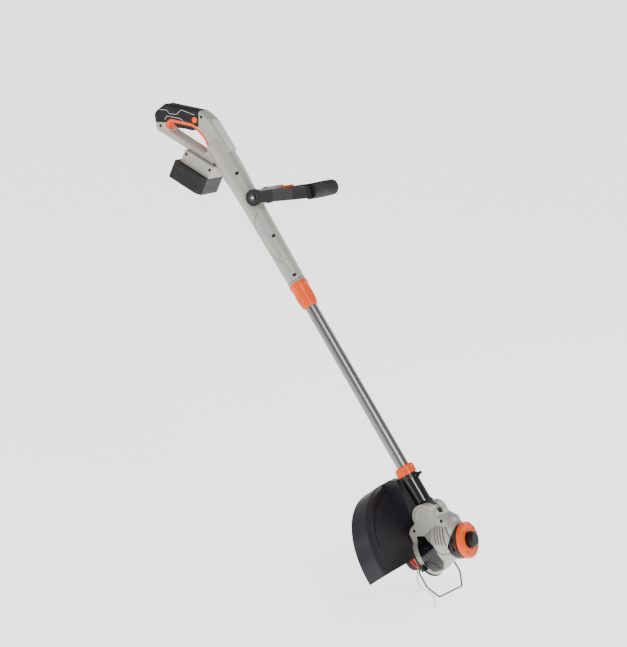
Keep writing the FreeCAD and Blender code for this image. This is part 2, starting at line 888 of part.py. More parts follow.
def vent_slots():
    """Four slanted slots through each side of the motor housing."""
    slots = []
    for index in range(4):
        box = shape_box((-18, 18), (-60, 60), (-1.2, 1.2))
        slots.append(placed(box, moved(x=-16 + 4 * index, z=61 + 4.9 * index, turn=18)))
    core = shape_box((-60, 60), (-20, 20), (0, 120))
    return slots[0].fuse(slots[1:]).cut(core)


def trim_shape():
    """Both trim insets, let into the head's skin and cut to their outline."""
    proud = number_of(size.trim_proud)
    depth = number_of(size.trim_depth)
    outer = head_mass(-proud).fuse(sharp_slab(NECK_OUTLINE, size.cheek_face + proud))
    inner = head_mass(depth).fuse(sharp_slab(NECK_OUTLINE, size.cheek_face - depth))
    zone = slab(rounded_wire(TRIM_OUTLINE), FAR / 2)
    middle = shape_box((-FAR, FAR), (-TRIM_FRONT, TRIM_FRONT), (-FAR, FAR))
    return outer.cut(inner).common(zone).cut([middle] + wire_block_rooms())


def wire_block_rooms():
    """Room in the trims for the two blocks that carry the wire."""
    gap = number_of(size.part_gap)
    length, width, height = WIRE_BLOCK
    hinge = number_of(size.wire_hinge)
    rooms = []
    for side in (-1, 1):
        y = side * (number_of(size.wire_half_width) - WIRE_BLOCK_INSET)
        x_range = (hinge - length / 2 - gap, hinge + length / 2 + gap)
        y_range = (y - width / 2 - gap, y + width / 2 + gap)
        rooms.append(shape_box(x_range, y_range, (-gap, height + gap)))
    return rooms


def drum_room():
    """Room on top of the housing for the wheel bracket."""
    depth = size.bracket_depth
    room = shape_turned([
        (0, -depth),
        (size.bracket_radius, -depth),
        (size.bracket_radius, FAR / 4),
        (0, FAR / 4),
    ])
    lid = shape_box((-39, 90), (-60, 60), (size.wheel_seat - 1, 60))
    return placed(room.fuse(lid), WHEEL_IN_HEAD)


def make_head():
    """Left and right head shells, their trims and screws."""
    outside = one_solid(head_outside())
    trims = trim_shape()
    screws = screw_solids(HEAD_SCREWS)
    floor = shape_box((-99, 99), (-99, 99), (-9, 3))
    shell_inside = head_mass(number_of(size.shell_wall)).cut([floor] + guard_screw_rods(4.5, -4, 8))
    neck_hollow = shape_box((-44, -20), (-25, 25), (12, 74))
    tools = [shell_inside, neck_hollow, pivot_clearance(), vent_slots(), drum_room()]
    tools.append(Part.makeCylinder(number_of(size.floor_hole), 20, Vector(0, 0, -10)))
    tools.append(trims)
    tools.append(shape_cross_rod(size.bolt_radius, 60, -size.pivot_back, size.pivot_rise))
    face = size.cheek_face - 1
    cap_seat = shape_cross_rod(size.cap_radius, 60, -size.pivot_back, size.pivot_rise)
    tools.append(cap_seat.cut(shape_box((-FAR, FAR), (-face, face), (-FAR, FAR))))
    tools += screws + screw_sinks(HEAD_SCREWS) + guard_screw_rods(number_of(size.screw_radius), -1, 7.5)
    shell = outside.cut(tools)
    plain(biggest(half_of(shell, 1)), HEAD, "left_head_shell")
    plain(biggest(half_of(shell, -1)), HEAD, "right_head_shell")
    plain(biggest(half_of(trims, 1)), HEAD, "left_trim_inset")
    plain(biggest(half_of(trims, -1)), HEAD, "right_trim_inset")
    plain(Part.makeCompound(screws), HEAD, "head_screws")


def biggest(shape):
    """The largest solid of a boolean result."""
    return max(shape.removeSplitter().Solids, key=lambda solid: solid.Volume)


def make_pivot():
    """Pivot bolt and the round cap on each cheek."""
    frame = HEAD * moved(x=-size.pivot_back, z=size.pivot_rise)
    face = size.cheek_face - 1
    keep(cross_rod(size.bolt_radius, 2 * face, frame), "pivot_bolt")
    for label, turn in (("left_pivot_cap", -90), ("right_pivot_cap", 90)):
        outward = Placement(Vector(), Rotation(Vector(1, 0, 0), turn))
        turned(label, frame * outward, [
            (0, face),
            (size.cap_radius, face),
            (size.cap_radius, face + 1.6),
            (size.cap_radius - 1, face + 2.6),
            (size.cap_radius - 4, face + 2.6),
            (size.cap_radius - 5, face + 2),
            (0, face + 2),
        ])


def make_motor():
    """Motor can with its mount, and the rotor with the drive shaft and fan."""
    wall = size.motor_wall
    shaft = size.axle_radius
    outer = size.motor_radius
    bottom = size.motor_bottom
    top = size.motor_top
    bore = shaft + size.running_gap
    turned("motor_can", HEAD, [
        (bore, bottom),
        (outer, bottom),
        (outer, top),
        (bore, top),
        (bore, top - wall),
        (outer - wall, top - wall),
        (outer - wall, bottom + wall),
        (bore, bottom + wall),
    ])
    mount = rod(31, 5, moved(z=bottom - 5))
    hole = rod(shaft + 4, 9, moved(z=bottom - 7))
    keep(without(mount, hole, HEAD), "motor_mount")
    armature = rod(outer - wall - 1.5, top - bottom - 12, moved(z=bottom + 6))
    spindle = rod(shaft, 66 + 28.5, moved(z=-28.5))
    keep(united([armature, spindle], HEAD), "motor_rotor")
    hub = rod(shaft + 3, 6, moved(z=60))
    blades = [hub]
    for index in range(8):
        blade = moved(turn=index * FULL_TURN / 8, about=UPWARD) * moved(x=size.fan_radius / 2 + 1, z=60)
        blades.append(block(size.fan_radius - 2, 1.2, 5.5, blade))
    bore_rod = rod(shaft, 20, moved(z=50))
    keep(without(united(blades), bore_rod, HEAD), "cooling_fan")


# ---------------------------------------------------------------- spool, line and tap cap

LINE_ROUTE = [(11.6, -14.2), (29.5, -33.4), (50, -52), (64, -40), (76, -22), (92.5, -27), (105.5, -38)]


def cord_tube(points, radius):
    """Round tube along straight runs joined by tangent arcs, each 0.45 of its shorter run."""
    edges = []
    start = points[0]
    for index in range(1, len(points) - 1):
        here = points[index]
        back = points[index - 1] - here
        ahead = points[index + 1] - here
        reach = 0.45 * min(back.Length, ahead.Length)
        turn = math.pi - back.getAngle(ahead)
        bend = reach / math.tan(turn / 2)
        print("bend radius %.1f" % bend)
        entry = here + back.normalize() * reach
        leave = here + ahead.normalize() * reach
        inward = (back + ahead).normalize()
        depth = bend / math.cos(turn / 2) - bend
        edges.append(Part.LineSegment(start, entry).toShape())
        edges.append(Part.Arc(entry, here + inward * depth, leave).toShape())
        start = leave
    edges.append(Part.LineSegment(start, points[-1]).toShape())
    path = Part.Wire(edges)
    circle = Part.makeCircle(radius, points[0], points[1] - points[0])
    tube = path.makePipeShell([Part.Wire(circle)], True, False)
    ideal = math.pi * radius ** 2 * path.Length
    print("tube volume over ideal %.3f, length %.1f" % (tube.Volume / ideal, path.Length))
    return tube


def make_spool():
    """Spool drum on the drive shaft, the line spool, its spring, the tap cap and the free line."""
    cap_top = -size.cap_drop + size.cap_height
    spool_top = -size.spool_top
    drum_top = -size.guard_wall - 1.5
    shaft = size.axle_radius
    cup = size.spool_radius + size.part_gap
    cup_top = spool_top + size.tap_travel + 0.6
    turned("spool_housing", HEAD, [
        (shaft, cup_top),
        (cup, cup_top),
        (cup, spool_top),
        (size.drum_radius, spool_top),
        (size.drum_radius, drum_top - 1),
        (size.drum_radius - 1, drum_top),
        (shaft, drum_top),
    ])
    turned("line_spool", HEAD, [
        (shaft + size.running_gap, cap_top),
        (size.spool_radius, cap_top),
        (size.spool_radius, cap_top + 3),
        (size.spool_radius - 4, cap_top + 4),
        (size.spool_radius - 4, spool_top - 3),
        (size.spool_radius, spool_top - 2),
        (size.spool_radius, spool_top),
        (9, spool_top),
        (9, cap_top + 3.5),
        (shaft + size.running_gap, cap_top + 3.5),
    ])
    coil = rod(7.5, 17, moved(z=cap_top + 3.8))
    bore = rod(5.5, 19, moved(z=cap_top + 3))
    keep(without(coil, bore, HEAD), "spool_spring")
    bottom = -size.cap_drop
    turned("spool_cap", HEAD, [
        (0, bottom),
        (size.tap_radius - 6, bottom),
        (size.tap_radius - 2, bottom + 2),
        (size.tap_radius, bottom + 6),
        (size.tap_radius, cap_top),
        (size.tap_radius - 3, cap_top),
        (size.tap_radius - 3, bottom + 4),
        (4, bottom + 4),
        (4, bottom + 9),
        (0, bottom + 9),
    ])
    height = number_of(spool_top) - 8
    points = [Vector(x, y, height) for x, y in LINE_ROUTE]
    plain(cord_tube(points, number_of(size.line_radius)), HEAD, "trimmer_line")


# ---------------------------------------------------------------- guard

def guard_screw_rods(radius, low, high):
    """Cylinders on the four screws that hold the guard to the head's base, between two heights."""
    rods = []
    for index in range(4):
        angle = math.radians(45 + 90 * index)
        reach = number_of(size.screw_circle)
        x = number_of(size.base_shift) + reach * math.cos(angle)
        foot = Vector(x, reach * math.sin(angle), low)
        rods.append(Part.makeCylinder(radius, high - low, foot))
    return rods


RIVET_INSET = 10
RIVET_DROPS = (-29, -36)
RIVET_RADIUS = 1.5


def make_guard():
    """Half-round guard: flat top with a stepped rim, deep skirt, raised spine and mounting disc."""
    outer = size.guard_radius
    wall = size.guard_wall
    depth = size.guard_depth
    facing_back = HEAD * moved(turn=180, about=UPWARD)
    body = turned("guard", facing_back, [
        (30, -wall),
        (70, -wall),
        (outer - wall, -wall - 1),
        (outer - wall, -depth),
        (outer, -depth),
        (outer, -8),
        (outer - 2, -3.5),
        (outer - 7, -1),
        (outer - 28, -1),
        (outer - 30, 0),
        (30, 0),
    ], size.guard_sweep)
    plate = new_sketch(body, "XY_Plane")
    add_circle(plate, -size.base_shift, 0, size.base_radius + 2)
    disc = body.newObject("PartDesign::Pad", "disc")
    disc.Profile = plate
    disc.Reversed = True
    bind(disc, Length=wall)
    side_pad(body, [(46, -1), (54.5, 8.5), (56.5, 15), (136, 31), (150, 31), (158, 14), (158, -4)],
             2 * size.spine_half_width)
    tab = new_sketch(body, "YZ_Plane")
    edge = outer - 1
    add_polygon(tab, [(edge - 16, -wall), (edge, -wall), (edge, -40), (edge - 16, -40)])
    finish_pad(body, tab, 4)
    rivet_holes = new_sketch(body, "YZ_Plane")
    for drop in RIVET_DROPS:
        add_circle(rivet_holes, outer - RIVET_INSET, drop, RIVET_RADIUS)
    bind(through_pocket(body, rivet_holes), Length=10)
    hole = new_sketch(body, "XY_Plane")
    add_circle(hole, 0, 0, size.floor_hole)
    for index in range(4):
        angle = math.radians(45 + 90 * index)
        x = -size.base_shift - size.screw_circle * math.cos(angle)
        add_circle(hole, x, size.screw_circle * math.sin(angle), size.screw_radius)
    through_pocket(body, hole)


def make_guard_screws():
    """Four screws up through the guard's disc into the head."""
    under = -number_of(size.guard_wall)
    shanks = guard_screw_rods(number_of(size.screw_radius), under - 1.2, 7.5)
    heads = guard_screw_rods(SCREW_HEAD_RADIUS, under - 1.2, under)
    solids = [one_solid(shank.fuse(head)) for shank, head in zip(shanks, heads)]
    plain(Part.makeCompound(solids), HEAD, "guard_screws")


def make_line_cutter():
    """Steel blade at the guard's right-hand end that trims the line, with two rivets."""
    middle = -(size.guard_radius - 20)
    blade = block(1.5, 30, 14, moved(x=2.75, y=middle, z=-40))
    holes = []
    rivets = []
    for drop in RIVET_DROPS:
        place = moved(x=-2.4, y=-(size.guard_radius - RIVET_INSET), z=drop, turn=90)
        holes.append(rod(RIVET_RADIUS, 7, place))
        rivets.append(rod(RIVET_RADIUS, 7, place))
    keep(without(blade, united(holes), HEAD), "line_cutter")
    keep(group(rivets, HEAD), "cutter_rivets")


# ---------------------------------------------------------------- edging wheel

def make_bracket():
    """Drum-shaped wheel bracket let into the top of the head, with a window in each side."""
    wall = size.bracket_wall
    depth = size.bracket_depth
    outer = size.bracket_radius - 0.1
    body = turned("wheel_bracket", HEAD * WHEEL_IN_HEAD, [
        (size.wheel_pin_radius, -depth),
        (outer - 6, -depth),
        (outer, -depth + 6),
        (outer, size.wheel_seat - 1.5),
        (outer - 1.5, size.wheel_seat - 0.5),
        (outer - wall, size.wheel_seat - 0.5),
        (outer - wall, -depth + 6),
        (outer - wall - 3, -depth + wall),
        (size.wheel_pin_radius + 5, -depth + wall),
        (size.wheel_pin_radius + 5, -8),
        (size.wheel_pin_radius, -8),
    ])
    window = new_sketch(body, "XZ_Plane")
    add_polygon(window, [(-12, -7.5), (16, -7.5), (12, -3), (-16, -3)])
    through_pocket(body, window)


def make_wheel():
    """Edging wheel with an inner skirt, its domed hub cap and the axle pin."""
    frame = HEAD * WHEEL_IN_HEAD
    low = size.wheel_seat + size.part_gap
    high = low + size.wheel_width
    rim = size.wheel_radius
    bore = size.wheel_pin_radius + size.running_gap
    turned("edging_wheel", frame, [
        (bore, low),
        (size.skirt_radius - 4, low),
        (size.skirt_radius - 4, -10),
        (size.skirt_radius, -10),
        (size.skirt_radius, low),
        (rim - 2, low),
        (rim, low + 2.5),
        (rim, high - 2.5),
        (rim - 3, high),
        (size.wheel_hub_radius + 4, high),
        (size.wheel_hub_radius + 2, high - 1.5),
        (bore, high - 1.5),
    ])
    cap = size.wheel_hub_radius
    foot = high - 1.5
    top = foot + size.wheel_hub_length
    turned("wheel_hub", frame, [
        (0, foot + 4),
        (bore, foot + 4),
        (bore, foot),
        (cap, foot),
        (cap, top - 5),
        (cap - 1.5, top - 2),
        (cap - 5, top),
        (0, top),
    ])
    start = -size.bracket_depth
    keep(rod(size.wheel_pin_radius, foot + 3 - start, frame * moved(z=start)), "wheel_axle")


# ---------------------------------------------------------------- plant-guard wire

def wire_path():
    """Right half of the wire's corners in its own plane, (x, y), from the hinge stub to the nose."""
    half = number_of(size.wire_half_width)
    reach = number_of(size.wire_reach)
    hinge = number_of(size.wire_hinge)
    return [(hinge, half - 25), (hinge, half), (reach - 28, half + 1), (reach, number_of(size.wire_nose))]


def make_wire():
    """Bent wire bow in front of the head and the two blocks that it swings in."""
    side = wire_path()
    corners = [(x, -y) for x, y in side] + [(x, y) for x, y in reversed(side)]
    rise = number_of(size.wire_rise)
    points = [Vector(x, y, rise) for x, y in corners]
    edges = []
    start = points[0]
    for index in range(1, len(points) - 1):
        here = points[index]
        back = (points[index - 1] - here).normalize()
        ahead = (points[index + 1] - here).normalize()
        half = back.getAngle(ahead) / 2
        bend = 8
        reach = bend / math.tan(half)
        inward = (back + ahead).normalize()
        depth = bend / math.sin(half) - bend
        edges.append(Part.LineSegment(start, here + back * reach).toShape())
        edges.append(Part.Arc(here + back * reach, here + inward * depth, here + ahead * reach).toShape())
        start = here + ahead * reach
    edges.append(Part.LineSegment(start, points[-1]).toShape())
    path = Part.Wire(edges)
    radius = number_of(size.wire_radius)
    circle = Part.Wire(Part.makeCircle(radius, points[0], points[1] - points[0]))
    plain(path.makePipeShell([circle], True, False), HEAD, "wire_guard")
    blocks = []
    for y in (-1, 1):
        place = moved(x=size.wire_hinge, y=y * (size.wire_half_width - WIRE_BLOCK_INSET))
        box = block(*WIRE_BLOCK, place)
        blocks.append(box)
    room = rod(size.base_radius + size.part_gap, 30, moved(x=size.base_shift, z=-10))
    bore = cross_rod(size.wire_radius + size.running_gap, FAR, moved(x=size.wire_hinge, z=size.wire_rise))
    keep(without(group(blocks), united([room, bore]), HEAD), "wire_pivots")


# ---------------------------------------------------------------- front handle

def make_front_handle():
    """Front loop with its hub discs, grip sleeve, base block, hub bolt and adjusting button."""
    frame = BODY * HUB_IN_BODY
    bar = size.bar_forward
    half_bar = size.bar_depth / 2
    body = new_body("front_handle_loop", frame)
    plan = new_sketch(body, "XY_Plane")
    add_polygon(plan, [
        (0, -30), (18, -30), (50, -33), (110, -52), (bar, -54), (bar + half_bar, -50), (bar + half_bar, 50),
        (bar, 54), (110, 52), (50, 33), (18, 30), (0, 30), (0, 20.4), (48, 20.4), (48, -20.4), (0, -20.4),
    ])
    finish_pad(body, plan, 2 * size.arm_half_height)
    hubs = new_sketch(body, "XZ_Plane")
    add_circle(hubs, 0, 0, size.hub_radius)
    finish_pad(body, hubs, 60)
    middle = new_sketch(body, "XZ_Plane")
    add_circle(middle, 0, 0, size.hub_radius + 1)
    bind(through_pocket(body, middle), Length=40.8)
    window = new_sketch(body, "XY_Plane")
    inner = bar - half_bar
    side = size.grip_length / 2 + 0.2
    add_polygon(window, [(82, -31), (106, -side), (inner, -side), (inner, side), (106, side), (82, 31)])
    through_pocket(body, window)
    bolt_hole = new_sketch(body, "XZ_Plane")
    add_circle(bolt_hole, 0, 0, size.bolt_radius + size.running_gap)
    through_pocket(body, bolt_hole)
    button_slot = new_sketch(body, "XY_Plane")
    add_polygon(button_slot, [(55, -8), (77, -8), (77, 8), (55, 8)])
    through_pocket(body, button_slot)
    sleeve = cross_rod(size.grip_radius, size.grip_length, moved(x=bar))
    core = block(size.bar_depth, FAR, 2 * size.arm_half_height, moved(x=bar, z=-size.arm_half_height))
    keep(without(sleeve, core, frame), "front_grip")
    base = united([block(31, 40.8, 22, moved(x=32.5, z=-10)), block(21.6, 30, 7, moved(x=37, z=11))])
    room = cross_rod(size.lug_radius + 1.5, FAR)
    keep(without(base, room, frame), "handle_base")
    bolt = cross_rod(size.bolt_radius, 62)
    head = cross_rod(7, 2.4, moved(y=-31.2))
    nut = cross_rod(7, 2.4, moved(y=31.2))
    keep(united([bolt, head, nut], frame), "handle_bolt")
    gap = number_of(size.part_gap)
    button = block(22 - 2 * gap, 16 - 2 * gap, 20, moved(x=66, z=-4))
    keep(button, "adjust_button").Placement = frame * button.Placement


# ---------------------------------------------------------------- battery

CELL_PITCH = 16.2
CELL_RISE = 7.6


def make_battery():
    """Battery pack: lid with its rail, hollow case, cells and release latch."""
    frame = BODY * RAIL_IN_BODY
    gap = size.part_gap
    half_long = size.pack_length / 2
    half_wide = size.pack_width / 2
    plan = [
        (-half_long + 3, -half_wide), (half_long - 9, -half_wide), (half_long, -half_wide + 9),
        (half_long, half_wide - 9), (half_long - 9, half_wide), (-half_long + 3, half_wide),
        (-half_long, half_wide - 3), (-half_long, -half_wide + 3),
    ]
    lid_top = -gap
    lid = new_body("battery_lid", frame * moved(z=lid_top))
    sketch = new_sketch(lid, "XY_Plane")
    add_polygon(sketch, plan)
    slab_pad = lid.newObject("PartDesign::Pad", "lid_pad")
    slab_pad.Profile = sketch
    slab_pad.Reversed = True
    bind(slab_pad, Length=size.lid_height)
    for half, top in ((size.rail_neck, size.rail_height), (size.rail_flange, size.rail_height)):
        rail = new_sketch(lid, "XY_Plane")
        add_polygon(rail, [(-31, -half), (33.2, -half), (33.2, half), (-31, half)])
        pad = lid.newObject("PartDesign::Pad", "rail_pad")
        pad.Profile = rail
        bind(pad, Length=top)
    for side in (-1, 1):
        under = new_sketch(lid, "YZ_Plane")
        low, high = size.rail_neck, size.rail_flange + 1
        lip = size.rail_lip + gap
        add_polygon(under, [(side * low, 0), (side * high, 0), (side * high, lip), (side * low, lip)])
        through_pocket(lid, under)
    slots = new_sketch(lid, "XY_Plane")
    for y in (-9, 0, 9):
        add_polygon(slots, [(19, y - 1.5), (34, y - 1.5), (34, y + 1.5), (19, y + 1.5)])
    slot_cut = through_pocket(lid, slots)
    slot_cut.SideType = "One side"
    slot_cut.Reversed = True
    bind(slot_cut, Length=30)
    floor = size.pack_height - size.lid_height
    case = new_body("battery_case", frame * moved(z=lid_top - size.lid_height))
    outline = new_sketch(case, "XY_Plane")
    add_polygon(outline, plan)
    shell = case.newObject("PartDesign::Pad", "case_pad")
    shell.Profile = outline
    shell.Reversed = True
    bind(shell, Length=floor)
    hollow = new_sketch(case, "XY_Plane")
    wide = half_wide - size.pack_wall
    front = half_long - size.pack_wall
    back = -front + 4.5
    add_polygon(hollow, [(back, -wide), (front - 8, -wide), (front, -wide + 8), (front, wide - 8),
                         (front - 8, wide), (back, wide)])
    room = case.newObject("PartDesign::Pocket", "hollow")
    room.Profile = hollow
    bind(room, Length=floor - size.pack_wall)
    recess = new_sketch(case, "XZ_Plane")
    depth = 5.5
    end = -half_long
    add_polygon(recess, [(end - 1, -15), (end + depth, -15), (end + depth, 1), (end - 1, 1)])
    bind(through_pocket(case, recess), Length=20.8)
    latch_foot = lid_top - size.lid_height - 14.6
    keep(block(3.2, 20, 14.2, frame * moved(x=end + 0.6, z=latch_foot)), "battery_latch")
    cells = []
    floor_level = lid_top - size.pack_height + size.pack_wall
    for index in range(4):
        x = back + size.cell_radius + 0.3 + CELL_PITCH * index
        z = floor_level + size.cell_radius + 0.1 + CELL_RISE * (index % 2)
        cells.append(cross_rod(size.cell_radius, size.cell_length, moved(x=x, z=z)))
    keep(group(cells, frame), "battery_cells")


# ---------------------------------------------------------------- build, check and write

make_upper_housing()
make_trigger()
make_lock_off_button()
make_switch()
make_controller()
make_terminals()
make_guide_bush()
make_collet()
make_collar()
make_tube()
make_sleeve()
make_turn_ring()
make_plunger()
make_head()
make_pivot()
make_motor()
make_spool()
make_guard()
make_guard_screws()
make_line_cutter()
make_bracket()
make_wheel()
make_wire()
make_front_handle()
make_battery()
doc.recompute()

for item in doc.Objects:
    if "Invalid" in item.State or "Error" in item.State:
        raise RuntimeError("not computed: " + item.Label)
for item in finished:
    if item.Shape.isNull() or not item.Shape.isValid():
        raise RuntimeError("bad shape: " + item.Label)
for item in finished:
    item.Shape.exportStep("parts/%s.step" % item.Label)
print("%d sub-parts" % len(finished))
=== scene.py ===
import json
import math

import bmesh
import bpy
import numpy as np
from mathutils import Matrix, Vector


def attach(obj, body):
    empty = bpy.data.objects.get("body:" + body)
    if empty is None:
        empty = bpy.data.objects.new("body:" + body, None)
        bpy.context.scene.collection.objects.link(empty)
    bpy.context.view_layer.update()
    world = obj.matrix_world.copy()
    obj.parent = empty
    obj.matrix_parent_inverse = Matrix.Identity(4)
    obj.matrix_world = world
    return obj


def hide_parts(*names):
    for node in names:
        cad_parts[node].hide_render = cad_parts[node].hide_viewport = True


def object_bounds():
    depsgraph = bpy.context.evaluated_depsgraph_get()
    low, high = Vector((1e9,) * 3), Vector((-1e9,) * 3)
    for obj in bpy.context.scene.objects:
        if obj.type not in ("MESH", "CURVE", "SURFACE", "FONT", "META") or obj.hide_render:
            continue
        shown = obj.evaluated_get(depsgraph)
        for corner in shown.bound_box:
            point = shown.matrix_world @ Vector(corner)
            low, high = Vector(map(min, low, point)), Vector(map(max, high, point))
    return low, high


# Battery string trimmer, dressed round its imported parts. Metres, +Z up, +X forward, +Y to the left.

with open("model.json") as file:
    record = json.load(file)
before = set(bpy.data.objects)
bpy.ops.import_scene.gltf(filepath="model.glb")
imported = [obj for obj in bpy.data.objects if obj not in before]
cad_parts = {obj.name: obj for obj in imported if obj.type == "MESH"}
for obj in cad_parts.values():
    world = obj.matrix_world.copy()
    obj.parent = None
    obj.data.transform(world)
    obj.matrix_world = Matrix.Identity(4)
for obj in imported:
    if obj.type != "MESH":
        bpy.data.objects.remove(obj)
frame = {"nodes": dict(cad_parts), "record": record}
cad_box = [list(corner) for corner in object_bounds()]
nodes = frame["nodes"]

MM = 0.001


# ---------------------------------------------------------------- frames of the machine

def stand(x=0, z=0, turn=0):
    """Frame shifted by x and z millimetres and turned about Y by degrees."""
    return Matrix.Translation((x * MM, 0, z * MM)) @ Matrix.Rotation(math.radians(turn), 4, "Y")


HEAD = stand(turn=54.5) @ stand(z=44)
SHAFT = HEAD @ stand(x=-59, z=53, turn=-90)
BODY = SHAFT @ stand(z=535)
GRIP = BODY @ stand(z=315, turn=35.5)
RAIL = GRIP @ stand(x=-52, z=-39, turn=25.2)
HUB = BODY @ stand(x=28, z=188, turn=26)
WHEEL = HEAD @ stand(x=20, z=88, turn=20)


def carried(points, place):
    """Points in millimetres of a frame, as metres of the row frame, by that frame's matrix."""
    turn = np.array(place.to_3x3())
    return np.asarray(points, float) * MM @ turn.T + np.array(place.translation)


# ---------------------------------------------------------------- camera, light and floor

AZIMUTH = math.radians(32)
ELEVATION = math.radians(10.4)
DISTANCE = 5.0
LENS = 140.2
LOOK_AT = Vector((-0.197, -0.049, 0.471))
FAR_CLIP = 200
SKY_STRENGTH = 0.5
FLOOR_HALF = 60
FLOOR_DROP = 0.004
FLOOR_GLOW = 1.9
# name, place, power, width of each soft box
SOFT_BOXES = [("key", (2.6, -2.2, 2.6), 85, 1.2), ("fill", (-3.0, -2.4, 1.8), 26, 2.0),
              ("rim", (0.6, 3.0, 2.4), 30, 1.6)]


def add_camera():
    """Long-lens camera on a sphere round the point it looks at."""
    lens = bpy.data.cameras.new("camera")
    lens.lens = LENS
    lens.clip_end = FAR_CLIP
    eye = bpy.data.objects.new("camera", lens)
    bpy.context.collection.objects.link(eye)
    ahead = Vector((-math.sin(AZIMUTH) * math.cos(ELEVATION), math.cos(AZIMUTH) * math.cos(ELEVATION),
                    -math.sin(ELEVATION)))
    eye.location = LOOK_AT - DISTANCE * ahead
    eye.rotation_euler = ahead.to_track_quat("-Z", "Y").to_euler()
    bpy.context.scene.camera = eye


def add_light(name, place, power, size, aim=(-0.2, 0, 0.4)):
    """Square soft box at a place, aimed at a point."""
    lamp = bpy.data.lights.new(name, "AREA")
    lamp.energy = power
    lamp.size = size
    item = bpy.data.objects.new(name, lamp)
    bpy.context.collection.objects.link(item)
    item.location = place
    item.rotation_euler = (Vector(aim) - Vector(place)).to_track_quat("-Z", "Y").to_euler()


def add_studio():
    """Pale sky, three soft boxes and a pale floor under the lowest piece."""
    sky = bpy.data.worlds.new("studio")
    sky.use_nodes = True
    sky.node_tree.nodes["Background"].inputs["Color"].default_value = (1, 1, 1, 1)
    sky.node_tree.nodes["Background"].inputs["Strength"].default_value = SKY_STRENGTH
    bpy.context.scene.world = sky
    for name, place, power, size in SOFT_BOXES:
        add_light(name, place, power, size)
    half = FLOOR_HALF
    low = cad_box[0][2] - FLOOR_DROP
    sheet = bpy.data.meshes.new("floor")
    corners = [(-half, -half, low), (half, -half, low), (half, half, low), (-half, half, low)]
    sheet.from_pydata(corners, [], [(0, 1, 2, 3)])
    floor = bpy.data.objects.new("floor", sheet)
    bpy.context.collection.objects.link(floor)
    paper = Finish("paper_floor", roughness=0.9, specular=0.1)
    paper.colour(paper.blend(paper.noise(3, 2), tint(238, 238, 237), tint(240, 240, 239)))
    paper.shader.inputs["Emission Color"].default_value = (1, 1, 1, 1)
    paper.shader.inputs["Emission Strength"].default_value = FLOOR_GLOW
    sheet.materials.append(paper.material)


# ---------------------------------------------------------------- shader arithmetic

def linear(part):
    """Linear share of a colour part from 0 to 255: a straight foot, then a power of 2.4."""
    return ((part / 255 + 0.055) / 1.055) ** 2.4 if part > 10 else part / 3295


def tint(red, green, blue):
    """Opaque linear colour of an ordinary 0 to 255 colour."""
    return (linear(red), linear(green), linear(blue), 1)


class Value:
    """A shader output that takes part in Python arithmetic."""

    def __init__(self, finish, socket):
        self.finish = finish
        self.socket = socket

    def worked(self, operation, *terms):
        """Result of a Math node on some terms."""
        return self.finish.node("ShaderNodeMath", {"operation": operation}, *terms)

    def __add__(self, other):
        return self.worked("ADD", self, other)

    def __radd__(self, other):
        return self.worked("ADD", other, self)

    def __sub__(self, other):
        return self.worked("SUBTRACT", self, other)

    def __rsub__(self, other):
        return self.worked("SUBTRACT", other, self)

    def __mul__(self, other):
        return self.worked("MULTIPLY", self, other)

    def __rmul__(self, other):
        return self.worked("MULTIPLY", other, self)


